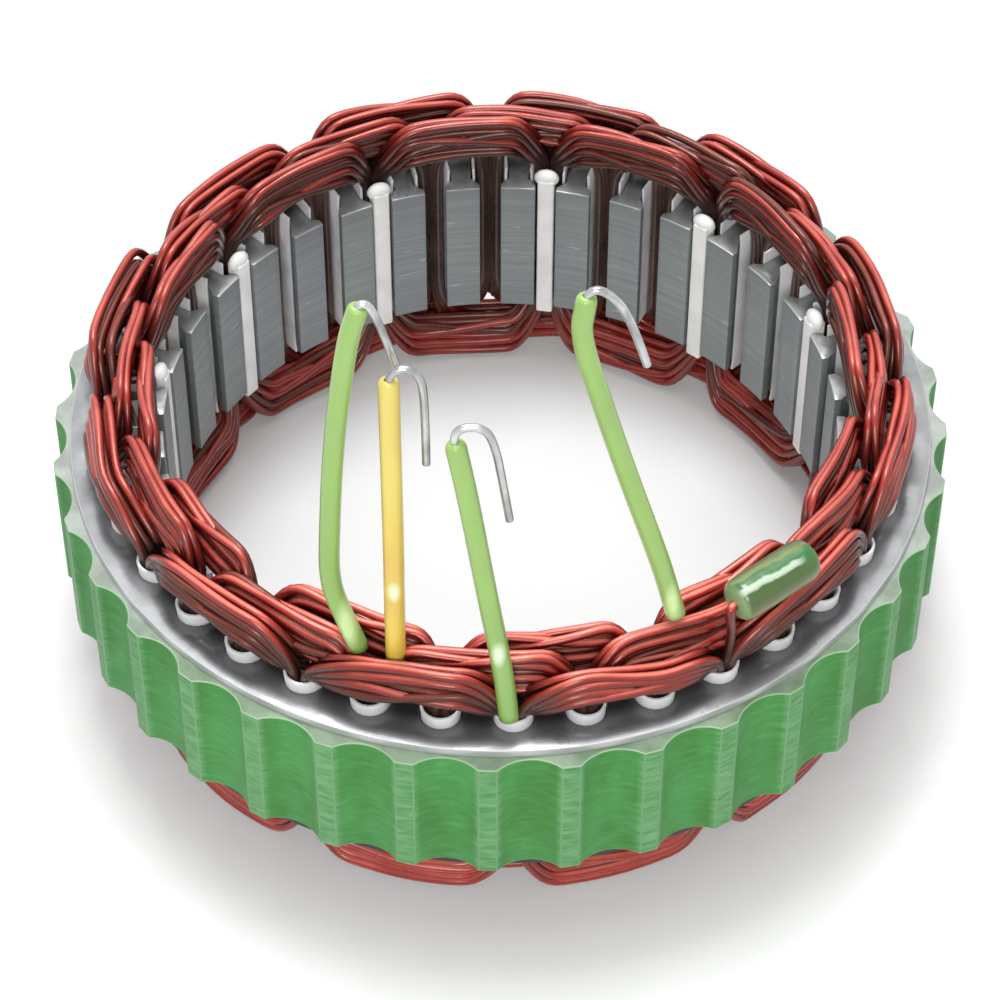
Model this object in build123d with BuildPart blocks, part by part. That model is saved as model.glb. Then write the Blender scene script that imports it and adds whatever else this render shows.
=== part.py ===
import os
from math import asin, cos, degrees, radians, sin, sqrt

from build123d import *

# Wound stator of a three-phase alternator, standing on its lower end turns.
# Millimetres, +Z up along the bore axis towards the end with the leads.
# The origin lies on the axis, level with the lowest end turns.

# Laminated core, from the bore outwards: slots, yoke, and the rim's ledge outside the registers
bore_radius = 49.0
slot_depth = 10.2
yoke_width = 3.3
ledge_width = 2.5
stack_height = 25.0
upper_register = 1.1
lower_register = 1.7
slot_count = 36
slot_width = 6.0
slot_opening = 3.25
slot_corner = 1.6
tip_edge = 1.0
scallop_depth = 1.9
lobe_tip_width = 2.56
lobe_shift = 1.7

# Slot insulation
fit_gap = 0.05
liner_thickness = 0.4
cuff_height = 1.9
wedge_recess = 0.2
wedge_thickness = 0.9
wedge_overhang = 1.7

# Windings: each slot holds one bar of wires, and bundles of wires run from slot to slot at both ends
coil_span_slots = 3
bar_depth = 5.2
bar_overhang = 0.2
neck_angle = 2.6
shoulder_angle = 5.4
ridge_count = 3
ridge_faces = {"a": "outer", "c": "inner"}
strand_groove = 0.4

# Each phase's band of end turns, the same at both ends: how far its corners beside the core and away
# from it lie outside the bore's wall, and how far both stand off the core's face
bands = {
    "a": {"near": (8.4, 11.2), "far": (7.0, 9.6), "heights": (3.9, 11.0)},
    "b": {"near": (4.6, 7.1), "far": (3.6, 5.7), "heights": (5.2, 12.3)},
    "c": {"near": (0.8, 3.6), "far": (0.8, 2.6), "heights": (5.0, 13.0)},
}
neck_height = 3.7
neck_half = 1.1
neck_tilt = 45.0

# Leads: each rises from the end turns of one phase, some degrees beside the slot at the given angle.
# Routes go through the sleeve's points and then the bare hook's, each given by its angle round the axis,
# its distance outside the bore's wall and its height over the core's upper face. A foot cut square
# across a leaning run dips by cut_slant times the radius, and stands foot_gap over the bundle.
sleeve_radius = 1.4
sleeve_bore = 0.9
lead_wire_radius = 0.6
wire_sides = 6
sleeve_sides = 8
foot_gap = 0.1
cut_slant = 0.35
leads = {
    "lead_a": {
        "band": "a",
        "slot": 270,
        "beside": 0.0,
        "sleeve": [(265.3, 5.7, 33.5), (261.9, 4.0, 50.0)],
        "hook": [(262.6, 3.9, 51.3), (266.2, 3.6, 50.5), (267.8, 3.5, 47.0), (269.5, 3.5, 35.0)],
    },
    "lead_b": {
        "band": "b",
        "slot": 250,
        "beside": -3.0,
        "sleeve": [(243.0, 4.9, 23.0), (244.1, 2.1, 51.0), (246.6, 0.0, 66.5)],
        "hook": [(248.2, -0.5, 67.3), (250.2, -1.7, 61.5), (252.0, -2.2, 55.0)],
    },
    "lead_c": {
        "band": "c",
        "slot": 290,
        "beside": 4.0,
        "over": "b",
        "sleeve": [(292.9, 3.1, 20.0), (289.5, 0.3, 37.5), (281.6, -3.1, 57.5), (282.2, -3.5, 66.5)],
        "hook": [(283.6, -3.2, 67.6), (287.5, -2.3, 64.0), (290.9, -1.4, 54.5)],
    },
    "lead_neutral": {
        "band": "b",
        "slot": 250,
        "beside": 3.0,
        "sleeve": [(251.7, 0.5, 55.5)],
        "hook": [(253.2, 0.1, 56.4), (255.7, -0.5, 55.5), (256.8, -0.7, 52.0), (256.8, -0.7, 40.0)],
    },
}

# Insulated joint of the three phases, lying on the outer band beside a slot of phase a
joint_radius = 3.2
joint_bore = 2.75
joint_length = 14.0
joint_angle = 307.6
joint_slot = 300
splice_radius = 2.3
splice_length = 9.0
splice_tail = 1.2

slot_bottom_radius = bore_radius + slot_depth
register_radius = slot_bottom_radius + yoke_width
core_radius = register_radius + ledge_width
slot_pitch = 360 / slot_count
coil_span = coil_span_slots * slot_pitch
core_bottom = max(band["heights"][1] for band in bands.values())
core_top = core_bottom + stack_height
slots_per_phase = slot_count // coil_span_slots
core_faces = {"upper": (core_top, 1), "lower": (core_bottom, -1)}

shoulder_radius = bore_radius + tip_edge + (slot_width - slot_opening) / 2
liner_gap = fit_gap + liner_thickness
slot_end = cuff_height + bar_overhang
bar_width = slot_width - 2 * (liner_gap + fit_gap)
bar_outer = slot_bottom_radius - slot_corner + (1 - sqrt(2)) * liner_gap - fit_gap
bar_inner = bar_outer - bar_depth


def radial_direction(angle):
    return Vector(cos(radians(angle)), sin(radians(angle)), 0)


def radial_plane(angle, height):
    """A level plane whose x axis runs outwards through the given angle."""
    return Plane(origin=(0, 0, height), x_dir=radial_direction(angle), z_dir=(0, 0, 1))


def cylinder_point(angle, outside, height):
    """A point outside the bore's wall, over the core's upper face."""
    return radial_direction(angle) * (bore_radius + outside) + Vector(0, 0, core_top + height)


def pocket_size(inset):
    """Half width, outer radius and corner of the slot's outline, moved inwards by inset."""
    return slot_width / 2 - inset, slot_bottom_radius - inset, slot_corner - (2 - sqrt(2)) * inset


def pocket_outline(inner_radius, inset):
    half, outer, corner = pocket_size(inset)
    return [
        (inner_radius, -half),
        (outer - corner, -half),
        (outer, corner - half),
        (outer, half - corner),
        (outer - corner, half),
        (inner_radius, half),
    ]


def slot_outline():
    """The whole slot: opening between the tooth tips, shoulders behind them, and the pocket."""
    lip = slot_opening / 2
    tip = bore_radius + tip_edge
    inside = bore_radius - tip_edge
    return [(tip, -lip), *pocket_outline(shoulder_radius, 0), (tip, lip), (inside, lip), (inside, -lip)]


def ring(angle, height, tilt, side, outline):
    """Corners of a section across a bundle that runs upwards at tilt 0 and around the core at tilt 90.

    Each point of outline is a radius and a distance towards the inside of the bundle's bend.
    """
    around = Vector(-sin(radians(angle)), cos(radians(angle)), 0)
    inwards = around * cos(radians(tilt)) - Vector(0, 0, side * sin(radians(tilt)))
    middle = Vector(0, 0, height)
    return [middle + radial_direction(angle) * radius + inwards * across for radius, across in outline]


def faceted_solid(rings):
    """A closed solid through rings of equally many corners, with flat facets between them."""
    faces = [Face(Wire.make_polygon(rings[0])), Face(Wire.make_polygon(rings[-1]))]
    for first, second in zip(rings, rings[1:]):
        for index in range(len(first)):
            after = (index + 1) % len(first)
            faces.append(Face(Wire.make_polygon([first[index], first[after], second[after]])))
            faces.append(Face(Wire.make_polygon([first[index], second[after], second[index]])))
    return Solid(Shell(faces))


def grooved(start, end, groove, count):
    """Points between start and end that dip by the groove vector between count strands."""
    steps = 2 * count - 2
    points = []
    for step in range(1, steps):
        share = step / steps
        dip = step % 2
        points.append(
            (
                start[0] + (end[0] - start[0]) * share + groove[0] * dip,
                start[1] + (end[1] - start[1]) * share + groove[1] * dip,
            )
        )
    return points


def bundle_outline(corners, groove, ridge_face):
    """Outline through four corners, with ridges for the strands on its outer or inner face, or plain.

    The corners are near-inner, far-inner, far-outer and near-outer.
    """
    near_inner, far_inner, far_outer, near_outer = corners
    if ridge_face == "inner":
        ridges = grooved(near_inner, far_inner, (groove, 0), ridge_count)
        return [near_inner, *ridges, far_inner, far_outer, near_outer]
    if ridge_face == "outer":
        ridges = grooved(far_outer, near_outer, (-groove, 0), ridge_count)
        return [near_inner, far_inner, far_outer, *ridges, near_outer]
    return corners


def bundle(band, end, ridge_face):
    """One bundle of end turns, from the slot at angle 0 to the slot one coil span on."""
    core_face, side = core_faces[end]
    near_height, far_height = band["heights"]
    near_in, near_out = [bore_radius + outside for outside in band["near"]]
    far_in, far_out = [bore_radius + outside for outside in band["far"]]
    half_bar = bar_width / 2
    middle = (near_height + far_height) / 2
    half_band = (far_height - near_height) / 2
    slot_face = [(bar_inner, half_bar), (bar_inner, 0), (bar_outer, 0), (bar_outer, half_bar)]
    neck = [(near_in, neck_half), (near_in, -neck_half), (near_out, -neck_half), (near_out, neck_half)]
    crest = [(near_in, half_band), (far_in, -half_band), (far_out, -half_band), (near_out, half_band)]
    stations = [
        (0, slot_end, 0, bundle_outline(slot_face, strand_groove / 4, ridge_face)),
        (neck_angle, neck_height, neck_tilt, bundle_outline(neck, strand_groove / 2, ridge_face)),
        (shoulder_angle, middle, 90, bundle_outline(crest, strand_groove, ridge_face)),
    ]
    mirrored = [(coil_span - angle, height, 180 - tilt, line) for angle, height, tilt, line in stations]
    return faceted_solid(
        [
            ring(angle, core_face + side * height, tilt, side, line)
            for angle, height, tilt, line in stations + mirrored[::-1]
        ]
    )


def foot_point(band, slot, beside, radius, outermost, crossed=None):
    """Where a run of the given radius stands over a phase's upper bundle, clear of a crossed band."""
    near_height, far_height = band["heights"]
    near_middle, far_middle = sum(band["near"]) / 2, sum(band["far"]) / 2
    circle = bore_radius + far_middle
    reach = abs(beside) + degrees(radius / circle)
    neck_edge = neck_angle - degrees(neck_half * cos(radians(neck_tilt)) / circle)
    neck_top = neck_height + neck_half * sin(radians(neck_tilt))
    if reach < neck_edge:
        height = slot_end + (neck_top - slot_end) * reach / neck_edge
    else:
        climb = min((reach - neck_edge) / (shoulder_angle - neck_edge), 1)
        height = neck_top + (far_height - neck_top) * climb
    rise = min(max((height - near_height) / (far_height - near_height), 0), 1)
    outside = min(near_middle + (far_middle - near_middle) * rise, outermost)
    if crossed:
        height = max(height, crossed["heights"][1])
    return cylinder_point(slot + beside, outside, height + foot_gap + radius * cut_slant)


def wire_run(points, radius, sides, bore=0):
    """A wire, or a sleeve with a bore, along straight runs from point to point."""
    with BuildPart() as run:
        with BuildLine():
            Polyline(*points)
        with BuildSketch(Plane(origin=points[0], z_dir=points[1] - points[0])):
            RegularPolygon(radius, sides)
            if bore:
                RegularPolygon(bore, sides, mode=Mode.SUBTRACT)
        sweep(transition=Transition.RIGHT)
    return run.part


os.makedirs("parts", exist_ok=True)

# Core: scalloped stack with a turned register at each end, slotted towards the bore
lobe_half_angle = degrees(asin(lobe_tip_width / 2 / core_radius))
scallop_half_angle = radians(slot_pitch / 2 - lobe_half_angle)
half_chord = core_radius * sin(scallop_half_angle)
scallop_bottom = core_radius - scallop_depth
scallop_rise = core_radius * cos(scallop_half_angle) - scallop_bottom
scallop_radius = (half_chord**2 + scallop_rise**2) / (2 * scallop_rise)
with BuildPart() as core:
    with BuildSketch(Plane.XY.offset(core_bottom + lower_register)):
        Circle(core_radius)
        with PolarLocations(scallop_bottom + scallop_radius, slot_count, start_angle=lobe_shift):
            Circle(scallop_radius, mode=Mode.SUBTRACT)
    extrude(amount=stack_height - lower_register - upper_register)
    with BuildSketch(Plane.XY.offset(core_bottom)):
        Circle(register_radius)
    extrude(amount=stack_height)
    with BuildSketch(Plane.XY.offset(core_bottom)):
        Circle(bore_radius)
        with PolarLocations(0, slot_count):
            Polygon(*slot_outline(), align=None)
    extrude(amount=stack_height, mode=Mode.SUBTRACT)
core.part.label = "laminated_core"
export_step(core.part, "parts/laminated_core.step")

# Slot liners: folded strips round each slot's walls, standing out of the core as cuffs
liner_mouth = shoulder_radius + 2 * fit_gap
for index in range(slot_count):
    with BuildPart() as liner:
        with BuildSketch(radial_plane(index * slot_pitch, core_bottom - cuff_height)):
            Polygon(*pocket_outline(liner_mouth, fit_gap), align=None)
            Polygon(*pocket_outline(liner_mouth - fit_gap, liner_gap), align=None, mode=Mode.SUBTRACT)
        extrude(amount=stack_height + 2 * cuff_height)
    liner.part.label = f"slot_liner_{index + 1:02d}"
    export_step(liner.part, f"parts/{liner.part.label}.step")

# Slot wedges: strips that close every third slot behind the tooth tips
wedge_lip = slot_opening / 2 - fit_gap
wedge_half = bar_width / 2
wedge_tip = bore_radius + tip_edge
wedge_flange = wedge_tip + wedge_half - wedge_lip
wedge_outline = [
    (bore_radius + wedge_recess, -wedge_lip),
    (wedge_tip, -wedge_lip),
    (wedge_flange, -wedge_half),
    (wedge_flange + wedge_thickness, -wedge_half),
    (wedge_flange + wedge_thickness, wedge_half),
    (wedge_flange, wedge_half),
    (wedge_tip, wedge_lip),
    (bore_radius + wedge_recess, wedge_lip),
]
first_wedge = list(bands).index("c") * slot_pitch
with BuildPart() as wedges:
    for index in range(slots_per_phase):
        with BuildSketch(radial_plane(first_wedge + index * coil_span, core_bottom - wedge_overhang)):
            Polygon(*wedge_outline, align=None)
        extrude(amount=stack_height + 2 * wedge_overhang)
wedges.part.label = "slot_wedges"
export_step(wedges.part, "parts/slot_wedges.step")

# Windings: the phases nest from the outside inwards, a, b and c
for order, (phase, band) in enumerate(bands.items()):
    with BuildPart() as coil_unit:
        with BuildSketch(radial_plane(0, core_bottom - slot_end)):
            with Locations(((bar_inner + bar_outer) / 2, 0)):
                Rectangle(bar_depth, bar_width)
        extrude(amount=stack_height + 2 * slot_end)
        add(bundle(band, "upper", ridge_faces.get(phase)))
        add(bundle(band, "lower", None))
    with BuildPart() as winding:
        with PolarLocations(0, slots_per_phase, start_angle=order * slot_pitch):
            add(coil_unit.part)
    winding.part.label = f"winding_phase_{phase}"
    export_step(winding.part, f"parts/{winding.part.label}.step")

# Leads: a bare wire through an insulating sleeve, both with a polygon for a section
for name, lead in leads.items():
    stand = (bands[lead["band"]], lead["slot"], lead["beside"])
    sleeve_foot = foot_point(*stand, sleeve_radius, slot_depth, bands.get(lead.get("over")))
    wire_foot = foot_point(*stand, lead_wire_radius, bar_outer - bore_radius)
    route = [cylinder_point(*point) for point in lead["sleeve"]]
    hook = [cylinder_point(*point) for point in lead["hook"]]
    sleeve = wire_run([sleeve_foot, *route], sleeve_radius, sleeve_sides, sleeve_bore)
    sleeve.label = f"{name}_sleeve"
    export_step(sleeve, f"parts/{sleeve.label}.step")
    wire = wire_run([wire_foot, sleeve_foot, *route, *hook], lead_wire_radius, wire_sides)
    wire.label = f"{name}_wire"
    export_step(wire, f"parts/{wire.label}.step")

# Insulated joint: a tube lying in the corner between the outer and the middle crest, over a splice
# whose visible wire comes up from a slot of phase a
outer_crest = bands["a"]["heights"][1]
middle_crest = bands["b"]["heights"][1]
joint_reach = joint_radius + foot_gap
joint_height = outer_crest + joint_reach
joint_aside = sqrt(max(joint_reach**2 - (joint_height - middle_crest) ** 2, 0))
joint_outside = bands["b"]["far"][1] + joint_aside
joint_axis = Vector(-sin(radians(joint_angle)), cos(radians(joint_angle)), 0)
joint_middle = cylinder_point(joint_angle, joint_outside, joint_height)
joint_ends = [joint_middle - joint_axis * joint_length / 2, joint_middle + joint_axis * joint_length / 2]
joint_sleeve = wire_run(joint_ends, joint_radius, sleeve_sides, joint_bore)
joint_sleeve.label = "joint_sleeve"
export_step(joint_sleeve, "parts/joint_sleeve.step")

splice_ends = [joint_middle - joint_axis * splice_length / 2, joint_middle + joint_axis * splice_length / 2]
tail_bend = joint_ends[0] - joint_axis * splice_tail
tail_foot = foot_point(bands["a"], joint_slot, 0, lead_wire_radius, bar_outer - bore_radius)
with BuildPart() as splice:
    add(wire_run(splice_ends, splice_radius, sleeve_sides))
    add(wire_run([joint_middle, tail_bend, tail_foot], lead_wire_radius, wire_sides))
splice.part.label = "joint_splice"
export_step(splice.part, "parts/joint_splice.step")
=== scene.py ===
import random
from math import asin, cos, degrees, pi, radians, sin

import bmesh
import bpy
from mathutils import Matrix, Vector


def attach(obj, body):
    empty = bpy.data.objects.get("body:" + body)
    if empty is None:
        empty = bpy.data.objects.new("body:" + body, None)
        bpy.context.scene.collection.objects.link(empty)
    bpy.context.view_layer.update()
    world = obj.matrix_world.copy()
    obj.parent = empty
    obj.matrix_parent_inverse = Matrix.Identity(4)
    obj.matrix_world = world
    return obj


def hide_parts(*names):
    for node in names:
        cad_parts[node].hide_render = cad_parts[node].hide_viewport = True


# Wound stator of an alternator: lacquered core, white slot liners, enamelled end turns, four leads
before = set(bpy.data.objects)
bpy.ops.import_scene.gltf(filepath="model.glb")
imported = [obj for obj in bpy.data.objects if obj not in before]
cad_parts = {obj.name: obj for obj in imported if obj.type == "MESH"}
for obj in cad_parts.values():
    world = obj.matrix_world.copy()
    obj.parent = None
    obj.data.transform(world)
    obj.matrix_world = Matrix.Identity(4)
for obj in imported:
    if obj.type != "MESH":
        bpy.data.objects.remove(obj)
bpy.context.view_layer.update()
mm = 0.001
scene = bpy.context.scene
scene.view_settings.view_transform = "Standard"

# Small helpers


def seen(red, green, blue):  # a colour as a screen shows it, 0 to 255
    def level(value):
        value /= 255
        return value / 12.92 if value <= 0.04045 else ((value + 0.055) / 1.055) ** 2.4
    return level(red), level(green), level(blue)


def onRing(angle, radius, height):  # degrees and millimetres to metres
    return Vector((cos(radians(angle)) * radius, sin(radians(angle)) * radius, height)) * mm


def addPiece(name, mesh, finishes, slot, *nodes):
    piece = bpy.data.objects.new(name, mesh)
    scene.collection.objects.link(piece)
    for finish in finishes:
        mesh.materials.append(finish)
    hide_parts(*nodes)
    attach(piece, "root")
    return piece


def meshFrom(bm, name):
    mesh = bpy.data.meshes.new(name)
    bm.to_mesh(mesh)
    bm.free()
    return mesh


def smoothFaces(mesh):
    mesh.shade_smooth()
    mesh.set_sharp_from_angle(angle=radians(40))


def newLine(name, radius, sides, steps):  # a curve that gets a round section
    line = bpy.data.curves.new(name, "CURVE")
    line.dimensions = "3D"
    line.bevel_depth = radius * mm
    line.bevel_resolution = sides
    line.resolution_u = steps
    return line


def addRun(line, points, order, sizes=None, finish=0):  # one smooth wire along its points
    spline = line.splines.new("NURBS")
    spline.points.add(len(points) - 1)
    for place, point, size in zip(spline.points, points, sizes or [1] * len(points)):
        place.co = (*point, 1)
        place.radius = size
    spline.order_u = order
    spline.use_endpoint_u = True
    spline.use_smooth = True
    spline.material_index = finish


def meshOf(line):
    guide = bpy.data.objects.new("guide", line)
    scene.collection.objects.link(guide)
    shown = guide.evaluated_get(bpy.context.evaluated_depsgraph_get())
    mesh = bpy.data.meshes.new_from_object(shown)
    bpy.data.objects.remove(guide)
    mesh.name = line.name
    return mesh


# Helpers for finishes: a value is a socket, or else a number or colour


def newFinish(name, color, roughness, metallic=0.0, coat=0.0):
    finish = bpy.data.materials.new(name)
    finish.use_nodes = True
    tree = finish.node_tree
    shader = tree.nodes["Principled BSDF"]
    shader.inputs["Base Color"].default_value = (*color, 1)
    shader.inputs["Roughness"].default_value = roughness
    shader.inputs["Metallic"].default_value = metallic
    shader.inputs["Coat Weight"].default_value = coat
    shader.inputs["Coat Roughness"].default_value = 0.12
    return finish, tree, shader


def feed(tree, entry, value):
    if isinstance(value, bpy.types.NodeSocket):
        tree.links.new(value, entry)
    else:
        entry.default_value = value


def mathNode(tree, operation, *values):
    node = tree.nodes.new("ShaderNodeMath")
    node.operation = operation
    for entry, value in zip(node.inputs, values):
        feed(tree, entry, value)
    return node.outputs[0]


def vectorNode(tree, operation, *values):
    node = tree.nodes.new("ShaderNodeVectorMath")
    node.operation = operation
    for entry, value in zip(node.inputs, values):
        feed(tree, entry, value)
    return node.outputs["Value" if operation in ("LENGTH", "DOT_PRODUCT") else "Vector"]


def mixColors(tree, factor, first, second, blend="MIX"):
    mix = tree.nodes.new("ShaderNodeMix")
    mix.data_type = "RGBA"
    mix.blend_type = blend
    for number, value in ((0, factor), (6, first), (7, second)):
        feed(tree, mix.inputs[number], (*value, 1) if isinstance(value, tuple) else value)
    return mix.outputs[2]


def coordinate(tree, kind="Object"):
    return tree.nodes.new("ShaderNodeTexCoord").outputs[kind]


def partOf(tree, vector, axis):  # X, Y or Z of a vector
    parts = tree.nodes.new("ShaderNodeSeparateXYZ")
    tree.links.new(vector, parts.inputs["Vector"])
    return parts.outputs[axis]


def spread(tree, value, low, high):  # 0 at low, 1 at high
    ranged = tree.nodes.new("ShaderNodeMapRange")
    ranged.inputs["From Min"].default_value = low
    ranged.inputs["From Max"].default_value = high
    tree.links.new(value, ranged.inputs["Value"])
    return ranged.outputs["Result"]


def objectNoise(tree, stretch, detail=2.0):  # features per metre along X, Y and Z, or one number for all
    mapping = tree.nodes.new("ShaderNodeMapping")
    mapping.inputs["Scale"].default_value = stretch if isinstance(stretch, tuple) else (stretch,) * 3
    grain = tree.nodes.new("ShaderNodeTexNoise")
    grain.inputs["Scale"].default_value = 1.0
    grain.inputs["Detail"].default_value = detail
    tree.links.new(coordinate(tree), mapping.inputs["Vector"])
    tree.links.new(mapping.outputs["Vector"], grain.inputs["Vector"])
    return grain.outputs["Fac"]


def addRamp(tree, factor, *stops):
    ramp = tree.nodes.new("ShaderNodeValToRGB")
    ramp.color_ramp.elements.remove(ramp.color_ramp.elements[1])
    ramp.color_ramp.elements[0].position = stops[0][0]
    ramp.color_ramp.elements[0].color = (*stops[0][1], 1)
    for position, color in stops[1:]:
        ramp.color_ramp.elements.new(position).color = (*color, 1)
    tree.links.new(factor, ramp.inputs["Fac"])
    return ramp.outputs["Color"]


def seenRamp(tree, factor, *stops):  # a ramp whose colours are written as a screen shows them
    return addRamp(tree, factor, *((position, seen(*color)) for position, color in stops))


def addBump(tree, shader, height, strength, distance=0.2):  # the distance in millimetres
    bump = tree.nodes.new("ShaderNodeBump")
    bump.inputs["Strength"].default_value = strength
    bump.inputs["Distance"].default_value = distance * mm
    tree.links.new(height, bump.inputs["Height"])
    tree.links.new(bump.outputs["Normal"], shader.inputs["Normal"])


# Zones in millimetres: where one colour starts to give way to another, and where it has
zones = {
    "sides": (44, 62),  # left and right of the axis
    "awayFromFront": (-46, -26),  # along Y
    "underCore": (13, 11), "intoSlots": (42.8, 38.6), "outOfSlots": (8.2, 12.4),  # heights
    "lobes": (64.3, 64.9), "ring": (49, 62.5),  # from the axis
}


def zone(tree, value, name):
    start, end = zones[name]
    return spread(tree, value, start * mm, end * mm)


def placeAlong(tree, axis):
    return partOf(tree, coordinate(tree), axis)


def axisDistance(tree):
    return vectorNode(tree, "LENGTH", vectorNode(tree, "MULTIPLY", coordinate(tree), (1, 1, 0)))


def sideways(tree):  # 0 at the front and back, 1 at the left and right
    return zone(tree, mathNode(tree, "ABSOLUTE", placeAlong(tree, "X")), "sides")


# Enamel of the wires, colours from their undersides to their crowns, which paint shade under each wire and a
# highlight on its crown; the front colours are painted lighter than the rest; brown is for their ends
enamels = {
    "redEnamel": {
        "front": ((88, 12, 8), (136, 25, 17), (182, 52, 40), (236, 128, 112)),
        "rest": ((78, 12, 8), (122, 24, 17), (156, 42, 33), (202, 88, 74)),
        "brown": ((50, 19, 15), (86, 31, 24), (132, 56, 45)),
        "coat": 0.4,
    },
    # Partly a darker, less glossy enamel and partly painted shade for wires lying deep between others
    "dullAndShadedEnamel": {
        "front": ((56, 15, 11), (80, 25, 19), (108, 42, 33), (156, 78, 64)),
        "rest": ((52, 14, 11), (72, 22, 17), (96, 35, 27), (134, 58, 47)),
        "brown": ((42, 21, 17), (70, 34, 27), (104, 56, 46)),
        "coat": 0.15,
    },
}


# Painted highlight: the crown, where a wire faces up, takes the lightest enamel colour; under the core a
# wire's sides are painted lighter instead
def crownOf(tree):  # 1 where a wire looks straight up, and under the core where it looks aside
    upwards = partOf(tree, coordinate(tree, "Normal"), "Z")
    aside = mathNode(tree, "SUBTRACT", 0.85, mathNode(tree, "ABSOLUTE", upwards))
    below = zone(tree, placeAlong(tree, "Z"), "underCore")
    return mathNode(tree, "MAXIMUM", upwards, mathNode(tree, "MULTIPLY", aside, below))


def makeEnamel(name):
    setting = enamels[name]
    finish, tree, shader = newFinish(name, seen(*setting["front"][1]), 0.34, coat=setting["coat"])
    patches = objectNoise(tree, 140, 3)
    crown = spread(tree, mathNode(tree, "MULTIPLY_ADD", patches, 0.5, crownOf(tree)), 0.2, 1.3)
    # Painted light: fresh holds the lighter crests at the front; the crests further back are painted in
    # shade
    fresh = seenRamp(tree, crown, *zip((0.1, 0.5, 0.76, 0.96), setting["front"]))
    shadedCrest = seenRamp(tree, crown, *zip((0.1, 0.5, 0.8, 1.0), setting["rest"]))
    bright = mixColors(tree, zone(tree, placeAlong(tree, "Y"), "awayFromFront"), fresh, shadedCrest)
    brown = seenRamp(tree, crown, *zip((0.1, 0.5, 0.92), setting["brown"]))
    along = partOf(tree, tree.nodes.new("ShaderNodeUVMap").outputs["UV"], "X")
    fromMiddle = mathNode(tree, "ABSOLUTE", mathNode(tree, "SUBTRACT", along, 0.5))
    wave = mathNode(tree, "MULTIPLY_ADD", objectNoise(tree, 260), 0.16, fromMiddle)
    crest = mixColors(tree, spread(tree, wave, 0.25, 0.42), bright, brown)
    height = placeAlong(tree, "Z")
    # Painted shade: wires inside the slots, and a few millimetres beyond the core's faces, turn a dark
    # grey-brown
    inside = mathNode(tree, "MULTIPLY", zone(tree, height, "intoSlots"), zone(tree, height, "outOfSlots"))
    slotShade = seenRamp(tree, patches, (0.3, (58, 46, 42)), (0.7, (86, 66, 60)))
    tree.links.new(mixColors(tree, inside, crest, slotShade), shader.inputs["Base Color"])
    tree.links.new(spread(tree, objectNoise(tree, 420), -0.3, 2.2), shader.inputs["Roughness"])
    shader.inputs["Coat Roughness"].default_value = 0.16
    shader.inputs["Specular IOR Level"].default_value = 0.6
    shader.inputs["Specular Tint"].default_value = (1, 0.7, 0.62, 1)
    addBump(tree, shader, objectNoise(tree, 900), 0.2)
    return finish


def makeRimLacquer():
    finish, tree, shader = newFinish("rimLacquer", seen(78, 146, 80), 0.5)
    streaks = objectNoise(tree, (330, 330, 1500), 3)
    patches = objectNoise(tree, (170, 170, 70), 3)
    base = seenRamp(tree, streaks, (0.32, (60, 128, 60)), (0.55, (74, 144, 74)), (0.74, (100, 164, 100)))
    stained = seenRamp(tree, patches, (0.35, (72, 128, 62)), (0.65, (84, 158, 90)))
    paler = seenRamp(tree, streaks, (0.3, (80, 142, 82)), (0.7, (120, 170, 120)))
    onLobe = zone(tree, axisDistance(tree), "lobes")
    lacquer = mixColors(tree, onLobe, mixColors(tree, 0.6, base, stained), paler)
    # Painted shade: the lacquer is darkened at the left and right
    darker = mixColors(tree, sideways(tree), lacquer, (0.8, 0.8, 0.8), "MULTIPLY")
    tree.links.new(darker, shader.inputs["Base Color"])
    shader.inputs["Specular IOR Level"].default_value = 0.15
    addBump(tree, shader, streaks, 0.25)
    return finish


def makeLedgeLacquer():
    finish, tree, shader = newFinish("ledgeLacquer", seen(130, 146, 128), 0.5)
    patches = objectNoise(tree, 260, 3)
    green = seenRamp(tree, patches, (0.35, (98, 124, 94)), (0.62, (130, 152, 126)))
    pale = seenRamp(tree, patches, (0.35, (150, 156, 150)), (0.62, (176, 181, 177)))
    # Painted reflection: the ledge turns pale at the left and right
    tree.links.new(mixColors(tree, sideways(tree), green, pale), shader.inputs["Base Color"])
    return finish


def makeRingSteel():  # ramps from the bore to the register: a dark band of painted shade under the windings round the slots' cuffs, and paler outside that band at the left and right, a painted reflection
    finish, tree, shader = newFinish("ringSteel", seen(140, 141, 143), 0.5, metallic=0.35, coat=0.5)
    mottle = addRamp(tree, objectNoise(tree, 210, 4), (0.3, (0.66, 0.66, 0.67)), (0.5, (0.86, 0.86, 0.86)),
                     (0.72, (1, 1, 1)))
    away = zone(tree, axisDistance(tree), "ring")
    # The dark stops near 0.4 to 0.6 are the painted shade under the windings
    front = seenRamp(tree, away, (0.05, (178, 181, 180)), (0.26, (150, 152, 152)), (0.42, (62, 60, 58)),
                     (0.6, (66, 64, 63)), (0.72, (112, 113, 115)), (0.84, (122, 122, 125)),
                     (0.93, (150, 151, 154)), (1.0, (178, 179, 181)))
    side = seenRamp(tree, away, (0.05, (178, 181, 180)), (0.26, (150, 152, 152)), (0.4, (58, 55, 53)),
                    (0.62, (62, 59, 57)), (0.7, (138, 139, 141)), (0.82, (154, 155, 158)),
                    (1.0, (166, 167, 169)))
    # Painted reflection: the side ramp, paler outside the dark band, takes over at the left and right
    plain = mixColors(tree, sideways(tree), front, side)
    tree.links.new(mixColors(tree, 1, plain, mottle, "MULTIPLY"), shader.inputs["Base Color"])
    tree.links.new(spread(tree, objectNoise(tree, 300), -0.4, 2.4), shader.inputs["Roughness"])
    addBump(tree, shader, objectNoise(tree, (700, 700, 2500)), 0.06)
    return finish


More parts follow.
